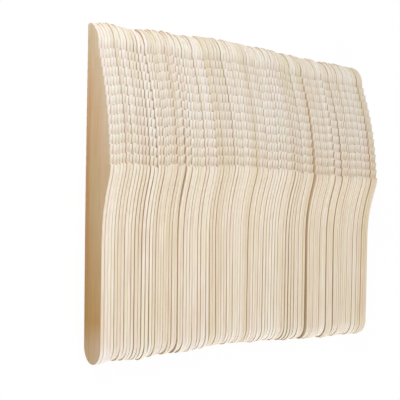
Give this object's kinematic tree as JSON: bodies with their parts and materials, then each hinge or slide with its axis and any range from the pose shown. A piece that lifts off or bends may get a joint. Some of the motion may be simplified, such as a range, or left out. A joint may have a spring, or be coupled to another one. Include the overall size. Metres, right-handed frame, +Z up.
{
  "type": "pack of wooden knives",
  "caption": "Pack of disposable birch knives stacked flat side to flat side in a long row, lying on their straight spines with the serrated edges up.",
  "frame": {"origin": "under the middle of the whole stack, on the surface that the spines rest on", "axes": "+X through the stack from the first knife to the last, +Y along the knives towards their tips, +Z up from the spines to the serrated edges"},
  "size_m": [0.193, 0.1686, 0.0223],
  "materials": {
    "birch_wood": "bare unvarnished birch veneer, tumbled smooth, with fine long grain"
  },
  "bodies": {
    "root": {"knife_001": "birch_wood", "knife_002": "birch_wood", "knife_003": "birch_wood", "knife_010": "birch_wood", "knife_011": "birch_wood", "knife_014": "birch_wood", "knife_023": "birch_wood", "knife_028": "birch_wood", "knife_029": "birch_wood", "knife_032": "birch_wood", "knife_035": "birch_wood", "knife_064": "birch_wood", "knife_071": "birch_wood", "knife_080": "birch_wood", "knife_083": "birch_wood", "knife_096": "birch_wood", "knife_097": "birch_wood", "knife_098": "birch_wood", "knife_099": "birch_wood", "knife_100": "birch_wood", "knives_004_005": "birch_wood", "knives_006_007": "birch_wood", "knives_008_009": "birch_wood", "knives_012_013": "birch_wood", "knives_015_016": "birch_wood", "knives_017_018": "birch_wood", "knives_019_020": "birch_wood", "knives_021_022": "birch_wood", "knives_024_025": "birch_wood", "knives_026_027": "birch_wood", "knives_030_031": "birch_wood", "knives_033_034": "birch_wood", "knives_036_037": "birch_wood", "knives_038_039": "birch_wood", "knives_040_041": "birch_wood", "knives_042_043": "birch_wood", "knives_044_045": "birch_wood", "knives_046_047": "birch_wood", "knives_048_049": "birch_wood", "knives_050_051": "birch_wood", "knives_052_053": "birch_wood", "knives_054_055": "birch_wood", "knives_056_057": "birch_wood", "knives_058_059": "birch_wood", "knives_060_061": "birch_wood", "knives_062_063": "birch_wood", "knives_065_066": "birch_wood", "knives_067_068": "birch_wood", "knives_069_070": "birch_wood", "knives_072_073": "birch_wood", "knives_074_075": "birch_wood", "knives_076_077": "birch_wood", "knives_078_079": "birch_wood", "knives_081_082": "birch_wood", "knives_084_085": "birch_wood", "knives_086_087": "birch_wood", "knives_088_089": "birch_wood", "knives_090_091": "birch_wood", "knives_092_093": "birch_wood", "knives_094_095": "birch_wood"}
  },
  "joints": []
}
